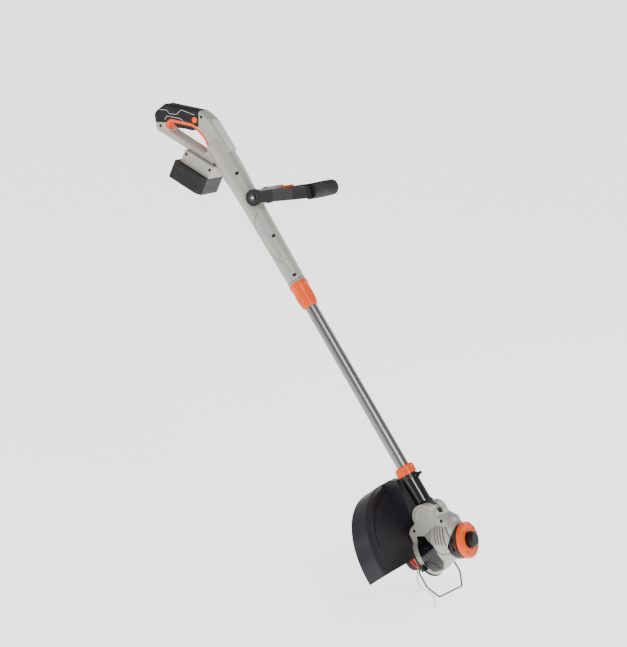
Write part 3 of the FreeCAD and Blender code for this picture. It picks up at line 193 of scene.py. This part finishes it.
class Finish:
    """One material: a Principled shader whose colour, roughness and bump come from expressions."""

    def __init__(self, name, roughness=0.5, metallic=0.0, specular=0.5, coat=0.0, coat_roughness=0.05):
        self.material = bpy.data.materials.new(name)
        self.material.use_nodes = True
        self.tree = self.material.node_tree
        self.shader = self.tree.nodes["Principled BSDF"]
        settings = {"Roughness": roughness, "Metallic": metallic, "Specular IOR Level": specular,
                    "Coat Weight": coat, "Coat Roughness": coat_roughness}
        for socket, number in settings.items():
            self.shader.inputs[socket].default_value = number
        self.spot = self.node("ShaderNodeTexCoord", {}, output="Object")

    def node(self, kind, settings, *terms, output=0, **named):
        """A node of a type, with its settings, then its sockets by order or by name."""
        made = self.tree.nodes.new(kind)
        for name, value in settings.items():
            setattr(made, name, value)
        sockets = list(enumerate(terms)) + [(name.replace("_", " "), term) for name, term in named.items()]
        for key, term in sockets:
            if isinstance(term, Value):
                self.tree.links.new(term.socket, made.inputs[key])
            else:
                made.inputs[key].default_value = term
        return Value(self, made.outputs[output])

    def noise(self, scale, detail=4, rough=0.5, spot=None):
        """Soft noise from 0 to 1."""
        return self.node("ShaderNodeTexNoise", {}, Vector=spot or self.spot, Scale=scale, Detail=detail,
                         Roughness=rough)

    def cells(self, scale):
        """Distance to the nearest of scattered points."""
        return self.node("ShaderNodeTexVoronoi", {}, Vector=self.spot, Scale=scale)

    def stretched(self, x, y, z, turn=0):
        """Object coordinates scaled along the axes after a turn about Y by degrees."""
        turned = self.node("ShaderNodeVectorRotate", {"rotation_type": "Y_AXIS"}, Vector=self.spot,
                           Angle=math.radians(turn))
        return self.node("ShaderNodeVectorMath", {"operation": "MULTIPLY"}, turned, (x, y, z))

    def ramp(self, value, low, high):
        """Value stretched so that low becomes 0 and high becomes 1, and held there."""
        return self.node("ShaderNodeMapRange", {"clamp": True}, Value=value, From_Min=low, From_Max=high)

    def blend(self, factor, first, second):
        """Colour that goes from first to second."""
        made = self.node("ShaderNodeMix", {"data_type": "RGBA"}, output=2)
        mixer = made.socket.node
        for index, term in ((0, factor), (6, first), (7, second)):
            if isinstance(term, Value):
                self.tree.links.new(term.socket, mixer.inputs[index])
            else:
                mixer.inputs[index].default_value = term
        return made

    def feed(self, name, value):
        """Link a value into the shader."""
        self.tree.links.new(value.socket, self.shader.inputs[name])

    def colour(self, value):
        """Let a value set the colour."""
        self.feed("Base Color", value)

    def roughness(self, value):
        """Let a value set the roughness."""
        self.feed("Roughness", value)

    def bump(self, height, strength, distance):
        """Raise the surface by a height from 0 to 1 times a distance in millimetres."""
        self.feed("Normal", self.node("ShaderNodeBump", {}, Strength=strength, Distance=distance * MM,
                                      Height=height))


# ---------------------------------------------------------------- finishes

def moulded(name, base, worn, rough=0.42, grain=2600, depth=0.06, coat=0.0, specular=0.22):
    """Moulded plastic: fine spark texture, slow shade drift, scuffs that are paler and rougher."""
    finish = Finish(name, roughness=rough, coat=coat, specular=specular)
    spark = finish.noise(grain, 3, 0.6)
    drift = finish.noise(9, 3)
    scuff = finish.ramp(finish.noise(55, 6, 0.7), 0.62, 0.72)
    fine = finish.ramp(finish.noise(380, 4, 0.65), 0.55, 0.8)
    colour = finish.blend(drift * 0.5 + fine * 0.25, base, worn)
    finish.colour(finish.blend(scuff * 0.22, colour, worn))
    finish.roughness(rough - 0.05 + drift * 0.1 + scuff * 0.12)
    finish.bump(spark * 0.7 + fine * 0.3, 0.5, depth)
    return finish.material


def soft_touch(name, base, worn):
    """Rubbery overmould: close stipple of round pits, rubbed smoother in patches."""
    finish = Finish(name, roughness=0.7, specular=0.35)
    pits = finish.ramp(finish.cells(900), 0.1, 0.6)
    rubbed = finish.ramp(finish.noise(24, 4), 0.5, 0.7)
    finish.colour(finish.blend(rubbed * 0.6 + pits * 0.25, base, worn))
    finish.roughness(0.74 - rubbed * 0.18)
    finish.bump(pits, 0.6, 0.12)
    return finish.material


def glossy(name, base, deep, rough=0.16, specular=0.35, coat=0.3):
    """Gloss plastic under a clear skin, with faint flow marks and hair scratches."""
    finish = Finish(name, roughness=rough, coat=coat, coat_roughness=0.08, specular=specular)
    flow = finish.noise(14, 3)
    hair = finish.ramp(finish.noise(300, 5, 0.7, finish.stretched(1, 1, 14, 30)), 0.62, 0.7)
    finish.colour(finish.blend(flow * 0.7 + hair * 0.2, base, deep))
    finish.roughness(rough + flow * 0.06 + hair * 0.15)
    finish.bump(flow * 0.6 + hair * 0.4, 0.15, 0.05)
    return finish.material


def anodised(name, base, bright):
    """Satin anodised tube: fine draw lines along the shaft and slight handling marks."""
    finish = Finish(name, roughness=0.32, metallic=1.0)
    lines = finish.noise(420, 4, 0.6, finish.stretched(1, 1, 0.012, 35.5))
    marks = finish.ramp(finish.noise(40, 5, 0.7), 0.6, 0.75)
    finish.colour(finish.blend(lines * 0.8 + marks * 0.2, base, bright))
    finish.roughness(0.27 + lines * 0.12 + marks * 0.1)
    finish.bump(lines, 0.2, 0.03)
    return finish.material


def turned_metal(name, base, bright, rough=0.3):
    """Plated steel with fine machining marks and dull spots."""
    finish = Finish(name, roughness=rough, metallic=1.0)
    marks = finish.noise(1500, 3, 0.6)
    dull = finish.ramp(finish.noise(160, 5, 0.6), 0.45, 0.75)
    finish.colour(finish.blend(marks * 0.5 + dull * 0.4, bright, base))
    finish.roughness(rough + dull * 0.2)
    finish.bump(marks, 0.3, 0.03)
    return finish.material


def spooled(name, base, dark):
    """Wound line on the spool's core: close rings across the motor axis."""
    finish = Finish(name, roughness=0.35, coat=0.3)
    along = finish.node("ShaderNodeSeparateXYZ", {}, finish.stretched(1, 1, 1, -54.5), output=2)
    rings = finish.node("ShaderNodeMath", {"operation": "SINE"}, along * (2 * math.pi / 0.0018)) * 0.5 + 0.5
    drift = finish.noise(90, 3)
    finish.colour(finish.blend(rings * 0.3 + drift * 0.3, base, dark))
    finish.roughness(0.3 + rings * 0.15)
    finish.bump(rings, 0.4, 0.15)
    return finish.material


def bolt_face(name):
    """Hub bolt: black satin ring with a bright centre, by distance from the hub's axis."""
    finish = Finish(name, roughness=0.3, coat=0.3)
    centre = tuple(HUB.translation)
    flat = finish.node("ShaderNodeVectorMath", {"operation": "MULTIPLY"}, finish.spot, (1, 0, 1))
    axis = (centre[0], 0, centre[2])
    away = finish.node("ShaderNodeVectorMath", {"operation": "DISTANCE"}, flat, axis, output=1)
    edge = finish.ramp(away + finish.noise(700, 3) * 0.0002, 0.0023, 0.0027)
    drift = finish.noise(120, 4)
    bright = finish.blend(drift, tint(236, 234, 228), tint(214, 212, 206))
    dark = finish.blend(drift, tint(10, 10, 11), tint(24, 24, 26))
    finish.colour(finish.blend(edge, bright, dark))
    finish.roughness(0.28 + drift * 0.14)
    finish.bump(drift, 0.2, 0.04)
    return finish.material


def circuit(name):
    """Circuit board: solder mask with traces under it and bare pads."""
    finish = Finish(name, roughness=0.35, coat=0.3)
    tracks = finish.ramp(finish.cells(260), 0.35, 0.4)
    pads = finish.ramp(finish.cells(520), 0.12, 0.1)
    mask = finish.blend(tracks * 0.6, tint(12, 70, 38), tint(30, 110, 62))
    finish.colour(finish.blend(pads, mask, tint(205, 190, 150)))
    finish.bump(tracks, 0.4, 0.04)
    return finish.material


def drawn_nylon(name):
    """Drawn nylon line: milky, with long faint streaks."""
    finish = Finish(name, roughness=0.3)
    streaks = finish.noise(900, 3)
    finish.colour(finish.blend(streaks, tint(222, 205, 160), tint(196, 176, 128)))
    finish.roughness(0.25 + streaks * 0.15)
    finish.bump(streaks, 0.2, 0.03)
    return finish.material


FINISHES = {
    "shell_grey": moulded("moulded_grey", tint(152, 149, 141), tint(172, 169, 161), 0.34, coat=0.2,
                          specular=0.5),
    "grip_black": soft_touch("soft_grip", tint(14, 14, 16), tint(26, 26, 28)),
    "accent_orange": glossy("orange_gloss", tint(238, 88, 0), tint(214, 62, 0), 0.3, 0.25, 0.1),
    "gloss_black": glossy("black_gloss", tint(8, 8, 10), tint(16, 16, 19)),
    "satin_black": moulded("black_satin", tint(14, 14, 16), tint(28, 28, 31), 0.36, coat=0.04),
    "guard_dark": moulded("smoke_guard", tint(33, 30, 35), tint(46, 43, 48), 0.34, 1800, 0.05, 0.05),
    "tube_alloy": anodised("anodised_tube", tint(96, 96, 98), tint(150, 150, 152)),
    # Screws darkened to the dark of their holes: painted shade.
    "steel_screw": turned_metal("screw_dark_as_hole_shade", tint(30, 30, 32), tint(58, 58, 61), 0.4),
    "steel_bright": turned_metal("bright_steel", tint(168, 170, 174), tint(208, 210, 212), 0.22),
    "spring_steel": turned_metal("spring_wire", tint(120, 120, 122), tint(170, 170, 172), 0.3),
    "wire_steel": moulded("coated_wire", tint(84, 84, 88), tint(112, 112, 116), 0.3, coat=0.3),
    "motor_steel": turned_metal("motor_case", tint(92, 94, 98), tint(140, 142, 146), 0.4),
    "board_green": circuit("circuit_board"),
    "cable_black": soft_touch("cable_sheath", tint(22, 22, 24), tint(36, 36, 38)),
    "cell_sleeve": glossy("cell_wrap", tint(44, 96, 160), tint(30, 76, 134), 0.3),
    "line_nylon": drawn_nylon("nylon_line"),
    "spool_red": spooled("wound_spool", tint(206, 44, 20), tint(140, 22, 10)),
    "brass_blade": turned_metal("contact_brass", tint(184, 142, 70), tint(220, 184, 112), 0.28),
    "nylon_white": moulded("natural_nylon", tint(222, 220, 210), tint(200, 197, 186), 0.45),
    "battery_black": moulded("battery_case", tint(20, 20, 19), tint(34, 34, 32), 0.42, 2000, 0.08),
}

# Near-black finish laid where a groove, seam, step or hole holds shade: painted shade.
PAINTED_SHADE = moulded("shadow_gap", tint(14, 14, 15), tint(26, 26, 27), 0.6)
INLAY = moulded("pale_inlay", tint(168, 168, 164), tint(190, 190, 186), 0.4)

for entry in frame["record"]["subparts"]:
    item = nodes[entry["node"]]
    item.data.materials.clear()
    item.data.materials.append(FINISHES[entry["material_slot"]])
nodes["handle_bolt"].data.materials[0] = bolt_face("hub_bolt_face")


# ---------------------------------------------------------------- free line

LINE_ROUTE = [(0.0116, -0.0142), (0.0295, -0.0334), (0.050, -0.052), (0.064, -0.040), (0.076, -0.022),
              (0.0925, -0.027), (0.1055, -0.038)]
LINE_LEVEL = -0.022
LINE_RADIUS = 0.00085


def add_free_line():
    """The cutting line from the spool, a NURBS curve on the route's points."""
    shape = bpy.data.curves.new("free_line", "CURVE")
    shape.dimensions = "3D"
    shape.bevel_depth = LINE_RADIUS
    shape.bevel_resolution = 4
    shape.use_fill_caps = True
    strand = shape.splines.new("NURBS")
    strand.points.add(len(LINE_ROUTE) - 1)
    for point, (x, y) in zip(strand.points, LINE_ROUTE):
        point.co = (*(HEAD @ Vector((x, y, LINE_LEVEL))), 1)
    strand.order_u = 3
    strand.use_endpoint_u = True
    strand.resolution_u = 16
    item = bpy.data.objects.new("free_line", shape)
    bpy.context.collection.objects.link(item)
    shape.materials.append(FINISHES["line_nylon"])
    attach(item, "spool")
    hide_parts("trimmer_line")


add_camera()
add_studio()
add_free_line()



# ---------------------------------------------------------------- surfaces worked out as arrays

def made_piece(name, grids, body, slot_name, closed_rows=False, finish=None):
    """One mesh from grids of points in metres: columns run round each section and join up, rows run
    along it and join up too or end in a flat cap."""
    spots, faces, first = [], [], 0
    for grid in grids:
        rows, columns = grid.shape[:2]
        numbers = np.arange(rows * columns).reshape(rows, columns) + first
        here = numbers if closed_rows else numbers[:-1]
        ahead = np.roll(numbers, -1, 0) if closed_rows else numbers[1:]
        quads = np.stack([here, np.roll(here, -1, 1), np.roll(ahead, -1, 1), ahead], -1)
        faces += quads.reshape(-1, 4).tolist()
        if not closed_rows:
            faces += [numbers[0][::-1].tolist(), numbers[-1].tolist()]
        spots.append(grid.reshape(-1, 3))
        first += rows * columns
    mesh = bpy.data.meshes.new(name)
    mesh.from_pydata(np.concatenate(spots).tolist(), [], faces)
    work = bmesh.new()
    work.from_mesh(mesh)
    bmesh.ops.recalc_face_normals(work, faces=work.faces)
    work.to_mesh(mesh)
    work.free()
    mesh.shade_smooth()
    mesh.set_sharp_from_angle(angle=math.radians(40))
    mesh.materials.append(finish or FINISHES[slot_name])
    item = bpy.data.objects.new(name, mesh)
    bpy.context.collection.objects.link(item)
    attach(item, body)
    return item


def node_triangles(names):
    """Triangles of CAD nodes in the row frame, (count, 3 corners, 3)."""
    found = []
    for name in names:
        mesh = nodes[name].data
        mesh.calc_loop_triangles()
        spots = np.empty(len(mesh.vertices) * 3)
        mesh.vertices.foreach_get("co", spots)
        corners = np.empty(len(mesh.loop_triangles) * 3, np.int32)
        mesh.loop_triangles.foreach_get("vertices", corners)
        found.append(spots.reshape(-1, 3)[corners.reshape(-1, 3)])
    return np.concatenate(found)


def side_level(triangles, points, side):
    """Furthest level of a skin towards one side (+1 left, -1 right) at points of the row XZ plane.
    The level at a point is the triangle's corner levels weighted by the point's area coordinates."""
    a, b, c = (triangles[:, corner][:, (0, 2)] for corner in range(3))
    area = (b[:, 0] - a[:, 0]) * (c[:, 1] - a[:, 1]) - (c[:, 0] - a[:, 0]) * (b[:, 1] - a[:, 1])
    keep = np.abs(area) > 1e-12
    triangles, a, b, c, area = triangles[keep], a[keep], b[keep], c[keep], area[keep]
    away_x = points[:, None, 0] - a[:, 0]
    away_z = points[:, None, 1] - a[:, 1]
    second = (away_x * (c[:, 1] - a[:, 1]) - (c[:, 0] - a[:, 0]) * away_z) / area
    third = ((b[:, 0] - a[:, 0]) * away_z - away_x * (b[:, 1] - a[:, 1])) / area
    inside = (second >= -1e-6) & (third >= -1e-6) & (second + third <= 1 + 1e-6)
    levels = triangles[:, :, 1] * side
    height = levels[:, 0] + second * (levels[:, 1] - levels[:, 0]) + third * (levels[:, 2] - levels[:, 0])
    height = np.where(inside, height, -np.inf).max(1)
    found = np.isfinite(height)
    return side * np.interp(np.arange(len(height)), np.flatnonzero(found), height[found])


def rounded_route(corners, rounding, closed=False, step=0.6):
    """Route through (x, z) corners in millimetres: straight runs cut into even steps, then each point
    becomes the mean of its neighbours within the rounding length."""
    corners = np.array(corners, float)
    if closed:
        corners = np.concatenate([corners, corners[:1]])
    gaps = np.linalg.norm(np.diff(corners, axis=0), axis=1)
    along = np.concatenate([[0], gaps.cumsum()])
    count = int(along[-1] / step) + 1
    places = np.linspace(0, along[-1], count, endpoint=not closed)
    route = np.stack([np.interp(places, along, corners[:, axis]) for axis in (0, 1)], 1)
    reach = max(1, int(rounding / step))
    padded = np.pad(route, ((reach, reach), (0, 0)), mode="wrap" if closed else "edge")
    window = np.ones(2 * reach + 1) / (2 * reach + 1)
    return np.stack([np.convolve(padded[:, axis], window, "valid") for axis in (0, 1)], 1)


def skin_line(triangles, corners, place, side, width, proud, rounding=4, closed=False):
    """Grid of a low bead that lies on the side of a skin: across its width the bead stands proud by
    one less the square of the place across, and its foot is sunk under the skin."""
    route = rounded_route(corners, rounding, closed)
    if closed:
        ahead = np.roll(route, -1, 0) - np.roll(route, 1, 0)
    else:
        ahead = np.gradient(route, axis=0)
    ahead /= np.linalg.norm(ahead, axis=1)[:, None]
    across = np.stack([-ahead[:, 1], ahead[:, 0]], 1)
    ratio = np.array([-1, -0.6, 0, 0.6, 1, 1, -1])
    raised = np.array([0, 0.64, 1, 0.64, 0, 0, 0]) * proud + np.array([0.05, 0, 0, 0, 0.05, -0.4, -0.4])
    flat = route[:, None, :] + ratio[None, :, None] * across[:, None, :] * width / 2
    solid = np.stack([flat[..., 0], np.zeros(flat.shape[:2]), flat[..., 1]], -1)
    points = carried(solid.reshape(-1, 3), place).reshape(solid.shape)
    for column in range(len(ratio)):
        level = side_level(triangles, points[:, column][:, (0, 2)], side)
        points[:, column, 1] = level + side * raised[column] * MM
    return points


def measured_profile(name, place):
    """Radius of a turned CAD node against height along a frame's Z, in millimetres."""
    spots = node_triangles([name]).reshape(-1, 3)
    turn = np.array(place.to_3x3())
    local = (spots - np.array(place.translation)) @ turn / MM
    heights = np.round(local[:, 2], 1)
    radii = np.hypot(local[:, 0], local[:, 1])
    levels = np.unique(heights)
    return levels, np.array([radii[heights == level].max() for level in levels])


def fluted_grid(name, place, low, high, count, height, power=1.0):
    """Skin over a turned node: its radius is the node's own, a little sunk, plus flutes that go round
    as the positive half of a cosine and fade at both ends as a root of a sine."""
    levels, radii = measured_profile(name, place)
    turn = np.linspace(0, 2 * math.pi, count * 12, endpoint=False)
    share = np.linspace(0, 1, 15)
    z = low + share * (high - low)
    base = np.interp(z, levels, radii)
    fade = np.sin(share * math.pi).clip(0, 1) ** 0.35
    ridge = np.cos(turn * count).clip(0, 1) ** power
    outer = base[None, :] - 0.15 + (height + 0.15) * ridge[:, None] * fade[None, :]
    inner = np.broadcast_to(base - 0.5, outer.shape)[:, ::-1]
    radius = np.concatenate([outer, inner], 1)
    level = np.broadcast_to(np.concatenate([z, z[::-1]]), radius.shape)
    grid = np.stack([radius * np.cos(turn)[:, None], radius * np.sin(turn)[:, None], level], -1)
    return carried(grid.reshape(-1, 3), place).reshape(grid.shape)


def hoop_grid(plan, place, low, high, inner, outer, bulge=0.0):
    """Band along a closed plan of (x, y) points: the plan moved outwards along its own normal by the
    section's distance, at the section's height; bulge rounds the outer face as a sine."""
    plan = np.array(plan, float)
    ahead = np.roll(plan, -1, 0) - np.roll(plan, 1, 0)
    ahead /= np.linalg.norm(ahead, axis=1)[:, None]
    outward = np.stack([ahead[:, 1], -ahead[:, 0]], 1)
    share = np.linspace(0, 1, 7)
    reach = np.concatenate([outer + bulge * np.sin(share * math.pi), [inner, inner]])
    level = np.concatenate([low + share * (high - low), [high, low]])
    flat = plan[:, None, :] + reach[None, :, None] * outward[:, None, :]
    heights = np.broadcast_to(level, flat.shape[:2])
    grid = np.concatenate([flat, heights[..., None]], -1)
    return carried(grid.reshape(-1, 3), place).reshape(grid.shape)


def circle_plan(radius, x=0, y=0, count=72):
    """Even points round a circle."""
    turn = np.linspace(0, 2 * math.pi, count, endpoint=False)
    return np.stack([x + radius * np.cos(turn), y + radius * np.sin(turn)], 1)


def rib_grid(spine, place, width, height, foot):
    """Rib along a line of (x, y) points on a flat face at the foot's level: half-round section, its
    height falling to nothing at both ends as a root of a sine. A negative height points it down."""
    ahead = np.gradient(spine, axis=0)
    ahead /= np.linalg.norm(ahead, axis=1)[:, None]
    across = np.stack([-ahead[:, 1], ahead[:, 0]], 1)
    lean = np.linspace(0, math.pi, 9)
    swell = np.sin(np.linspace(0, math.pi, len(spine))).clip(0.04, 1) ** 0.3
    flat = spine[:, None, :] + np.cos(lean)[None, :, None] * across[:, None, :] * width / 2
    level = foot + np.sin(lean)[None, :] * height * swell[:, None] - math.copysign(0.3, height)
    grid = np.concatenate([flat, level[..., None]], -1)
    return carried(grid.reshape(-1, 3), place).reshape(grid.shape)


# ---------------------------------------------------------------- detail pieces

SIDES = (-1, 1)
BODY_SHELLS = ["left_body_shell", "right_body_shell"]
HEAD_SHELLS = ["left_head_shell", "right_head_shell"]


def add_grip_inlays():
    """Pale inlay lines let into both sides of the grip cover: a zigzag and a bow over the trigger."""
    skin = node_triangles(["grip_cover"])
    zigzag = [(-140, 77), (-122, 77), (-116, 70), (-98, 69), (-86, 79), (-52, 70)]
    bow = [(-127, 57), (-122, 65), (-88, 61), (-79, 54)]
    routes = [(corners, side) for corners in (zigzag, bow) for side in SIDES]
    grids = [skin_line(skin, corners, GRIP, side, 1.1, 0.25, 2) for corners, side in routes]
    made_piece("grip_inlays", grids, "upper", "shell_grey", finish=INLAY)


def add_housing_lines():
    """Dark beads along the sides of the upper housing stand for the moulded shadow lines; their dark is
    painted shade.
    """
    skin = node_triangles(BODY_SHELLS)
    sweep = [(14, 164), (-7, 143), (-11, 99), (-3, 60), (6, 44)]
    grids = [skin_line(skin, sweep, BODY, side, 0.9, 0.12, 9) for side in SIDES]
    made_piece("housing_lines", grids, "upper", "satin_black", finish=PAINTED_SHADE)


def add_vent_panels():
    """Raised bead that frames the vents on both sides of the motor housing, near-black as painted shade
    along the raised panel's edge.
    """
    skin = node_triangles(HEAD_SHELLS)
    frame_line = [(-33, 53), (-22, 47), (-4, 45), (22, 50), (33, 68), (26, 82), (0, 86), (-22, 86)]
    grids = [skin_line(skin, frame_line, HEAD, side, 1.3, 0.35, 5) for side in SIDES]
    made_piece("vent_panel_lines", grids, "head", "satin_black", finish=PAINTED_SHADE)


GRIP_BAR = HUB @ Matrix.Translation((144 * MM, 0, 0)) @ Matrix.Rotation(math.radians(-90), 4, "X")
# piece, node, frame, from and to height, flutes, their height, sharpness, body, slot
FLUTED = [
    ("collar_flutes", "lock_collar", BODY, -53, -22, 26, 0.9, 1.0, "collar", "accent_orange"),
    ("turn_ring_flutes", "turn_lock_ring", SHAFT, 90.5, 106, 30, 0.7, 1.0, "turn_ring", "accent_orange"),
    ("wheel_tread", "edging_wheel", WHEEL, 6.8, 13, 44, 0.5, 1.0, "wheel", "accent_orange"),
    ("wheel_hub_ribs", "wheel_hub", WHEEL, 16.5, 23, 20, 0.6, 1.0, "wheel", "satin_black"),
    ("front_grip_ridges", "front_grip", GRIP_BAR, -36, 36, 34, 0.45, 2.0, "front_handle", "grip_black"),
]


def add_flutes():
    """Finger flutes on the lock collar and turn ring, wheel tread, ribs on its hub and the front grip."""
    for piece, node, place, low, high, count, height, power, body, slot_name in FLUTED:
        grid = fluted_grid(node, place, low, high, count, height, power)
        made_piece(piece, [grid], body, slot_name, True)


def add_bands():
    """Seam bands: the battery's two, the ring at the housing's end and two cuffs on the sleeve."""
    half_long, half_wide, back, front = 41.5, 37.5, 3, 9
    outline = [
        (-half_long, back - half_wide), (back - half_long, -half_wide), (half_long - front, -half_wide),
        (half_long, front - half_wide), (half_long, half_wide - front), (half_long - front, half_wide),
        (back - half_long, half_wide), (-half_long, half_wide - back),
    ]
    plan = rounded_route(outline, 1.2, True)
    bands = [
        hoop_grid(plan, RAIL, -10.2, -9.0, -0.6, 0.06, 0.25),
        hoop_grid(plan, RAIL, -33.2, -32.4, -0.6, 0.04, 0.2),
    ]
    made_piece("battery_bands", bands, "battery", "gloss_black", True)
    # The ring at the housing's end is near-black: painted shade in the seam.
    ring = [hoop_grid(circle_plan(18.5), BODY, 3.2, 4.4, -1, 0.02, 0.3)]
    made_piece("housing_end_ring", ring, "upper", "satin_black", True, PAINTED_SHADE)
    cuffs = [hoop_grid(circle_plan(17), SHAFT, level, level + 2.2, -1, 0.05, 0.5) for level in (80, 83.6)]
    made_piece("sleeve_cuffs", cuffs, "sleeve", "gloss_black", True)


def add_hub_rings():
    """Ring round the bolt head on both hubs of the front handle."""
    grids = []
    for side in SIDES:
        facing = HUB @ Matrix.Rotation(math.radians(90 * side), 4, "X")
        grids.append(hoop_grid(circle_plan(10.5), facing, 29.6, 30.5, -1.4, 0, 0.3))
    made_piece("hub_rings", grids, "front_handle", "gloss_black", True)


def add_wheel_dots():
    """Four small blind holes on the wheel's face, as dark buttons: painted shade in the holes."""
    grids = []
    for turn in np.radians([45, 135, 225, 315]):
        plan = circle_plan(1.7, 27.5 * math.cos(turn), 27.5 * math.sin(turn), 24)
        grids.append(hoop_grid(plan, WHEEL, 15.5, 16.0, -1.5, 0, 0.1))
    made_piece("wheel_dots", grids, "wheel", "satin_black", True, PAINTED_SHADE)


STEP_RADIUS = 143
STEP_SWEEP = (108, 252)
RIB_TURNS = (118, 138, 158, 202, 222, 242)
RIB_REACH = (72, 146)
GUARD_PLATE = 4


def add_guard_detail():
    """Step line along an arc on top of the guard, near-black as painted shade of the step, and ribs that fan
    out under it.
    """
    turn = np.radians(np.linspace(*STEP_SWEEP, 90))
    arc = STEP_RADIUS * np.stack([np.cos(turn), np.sin(turn)], 1)
    made_piece("guard_step_line", [rib_grid(arc, HEAD, 2.4, 0.5, 0)], "head", "satin_black", finish=PAINTED_SHADE)
    grids = []
    for lean in np.radians(RIB_TURNS):
        ray = np.array([math.cos(lean), math.sin(lean)])
        grids.append(rib_grid(np.linspace(*RIB_REACH, 25)[:, None] * ray, HEAD, 4, -2.2, -GUARD_PLATE))
    made_piece("guard_ribs", grids, "head", "guard_dark")


def add_trim_windows():
    """Raised bead round the window of both gloss trims."""
    skin = node_triangles(["left_trim_inset", "right_trim_inset"])
    window = [(-6, 28), (10, 22), (30, 22), (42, 27), (34, 36), (12, 38), (-2, 34)]
    grids = [skin_line(skin, window, HEAD, side, 1.5, 0.45, 4, True) for side in SIDES]
    made_piece("trim_windows", grids, "head", "gloss_black", True)


for add_detail in (add_grip_inlays, add_housing_lines, add_vent_panels, add_flutes, add_bands, add_hub_rings,
                   add_wheel_dots, add_guard_detail, add_trim_windows):
    add_detail()
